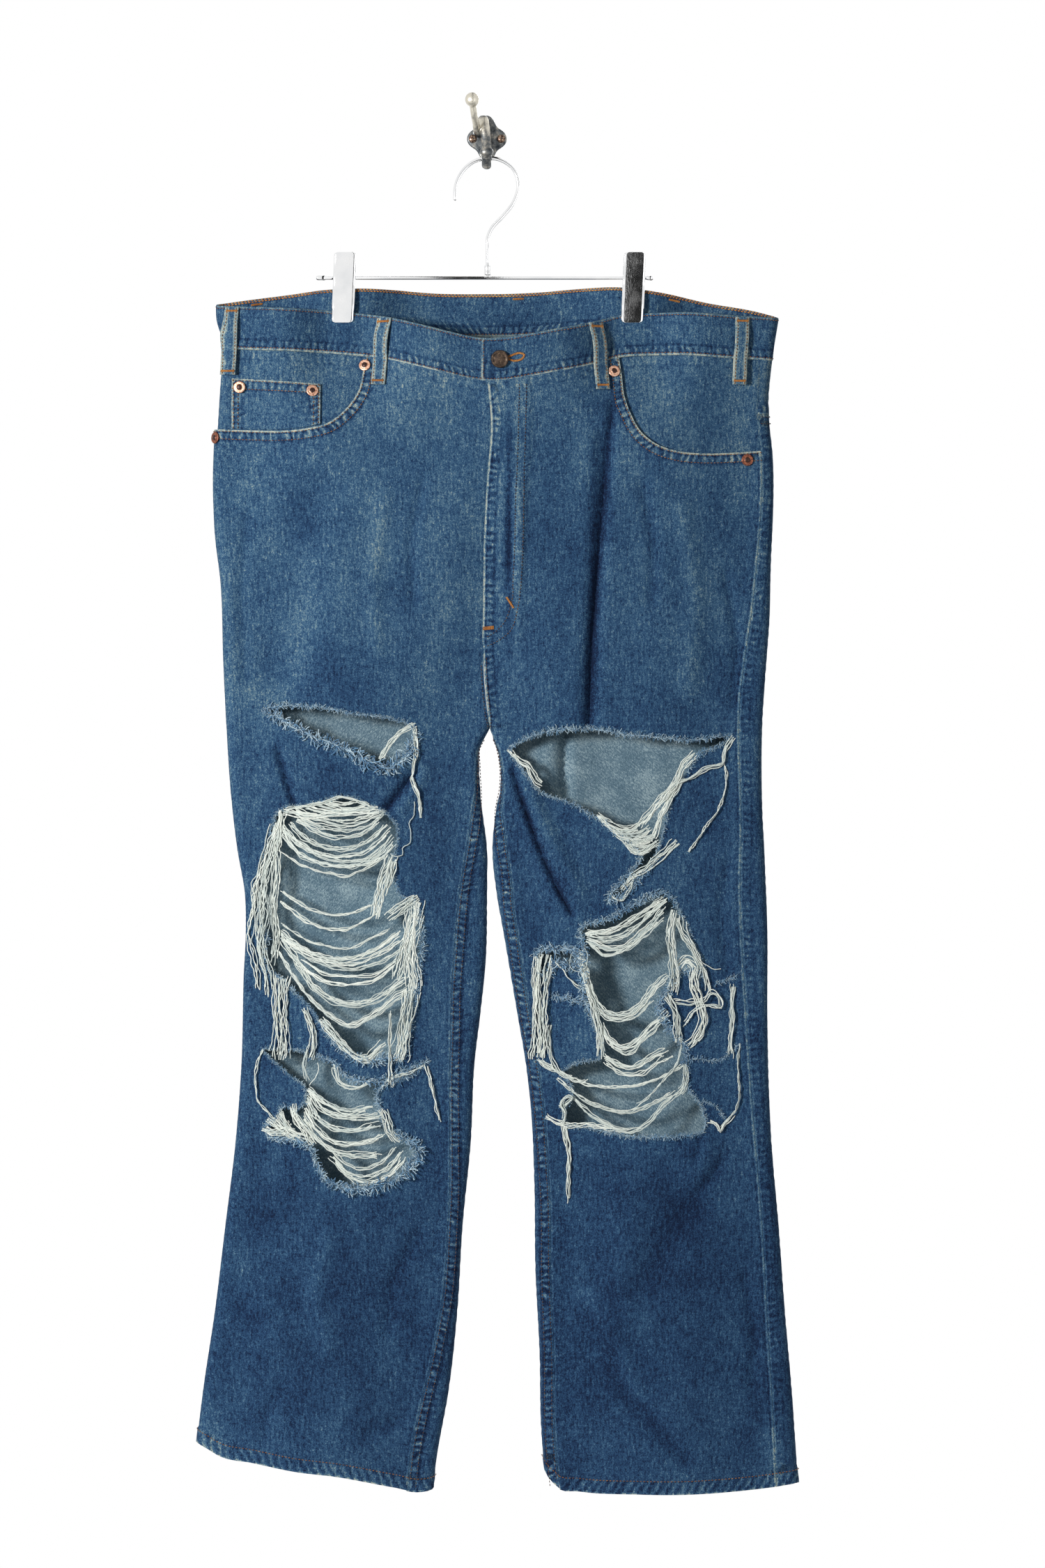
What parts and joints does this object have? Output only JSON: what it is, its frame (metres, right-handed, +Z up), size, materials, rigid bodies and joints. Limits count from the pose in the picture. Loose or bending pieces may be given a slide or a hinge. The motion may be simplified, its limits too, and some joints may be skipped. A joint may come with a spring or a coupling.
{
  "type": "ripped jeans on a clip hanger with a wall hook",
  "caption": "Straight-leg jeans with worn-through thighs, knees and shins, hung by the waistband from a clip hanger on a wall hook.",
  "frame": {"origin": "centre of the back face of the wall hook's plate, on the wall plane, midway between its two screws", "axes": "+X to the wearer's left, +Y into the wall, +Z up"},
  "size_m": [0.5885, 0.085, 1.3723],
  "materials": {
    "denim": "washed indigo twill, worn pale at folds and seams",
    "yarn": "bared white weft yarn",
    "chrome": "bright chrome plate",
    "spring_steel": "dull spring steel",
    "button_metal": "dark aged bronze",
    "copper": "worn copper",
    "cast_iron": "dark casting, worn bright at the tips",
    "brass": "tarnished brass"
  },
  "bodies": {
    "root": {"front_right": "denim", "front_left": "denim", "back_right": "denim", "back_left": "denim", "yoke_right": "denim", "yoke_left": "denim", "pocket_facing_right": "denim", "pocket_facing_left": "denim", "coin_pocket": "denim", "back_pocket_right": "denim", "back_pocket_left": "denim", "waistband": "denim", "belt_loop_side_right": "denim", "belt_loop_front_right": "denim", "belt_loop_front_left": "denim", "belt_loop_side_left": "denim", "belt_loop_back_right": "denim", "belt_loop_back_middle": "denim", "belt_loop_back_left": "denim", "shank_button": "button_metal", "rivet_mouth_right": "copper", "rivet_coin_outer": "copper", "rivet_coin_inner": "copper", "rivet_mouth_left": "copper", "rivet_side_left": "copper", "rivet_side_right": "copper", "hanger_bar": "chrome", "hanger_hook": "chrome", "clip_right_front": "chrome", "clip_right_back": "chrome", "clip_left_front": "chrome", "clip_left_back": "chrome", "clip_right_spring": "spring_steel", "clip_left_spring": "spring_steel", "wall_hook": "cast_iron", "wall_screw_right": "brass", "wall_screw_left": "brass", "yarns_thigh_right": "yarn", "yarns_knee_right_1": "yarn", "yarns_knee_right_2": "yarn", "yarns_knee_right_3": "yarn", "yarns_knee_right_4": "yarn", "yarns_knee_right_5": "yarn", "yarns_knee_right_6": "yarn", "yarns_knee_right_7": "yarn", "yarns_shin_right_1": "yarn", "yarns_shin_right_2": "yarn", "yarns_shin_right_3": "yarn", "yarns_thigh_left_1": "yarn", "yarns_thigh_left_2": "yarn", "yarns_thigh_left_3": "yarn", "yarns_knee_left_1": "yarn", "yarns_knee_left_2": "yarn", "yarns_knee_left_3": "yarn", "yarns_knee_left_4": "yarn", "yarns_shin_left_1": "yarn", "yarns_shin_left_2": "yarn", "yarns_shin_left_3": "yarn", "yarns_shin_left_4": "yarn"}
  },
  "joints": []
}
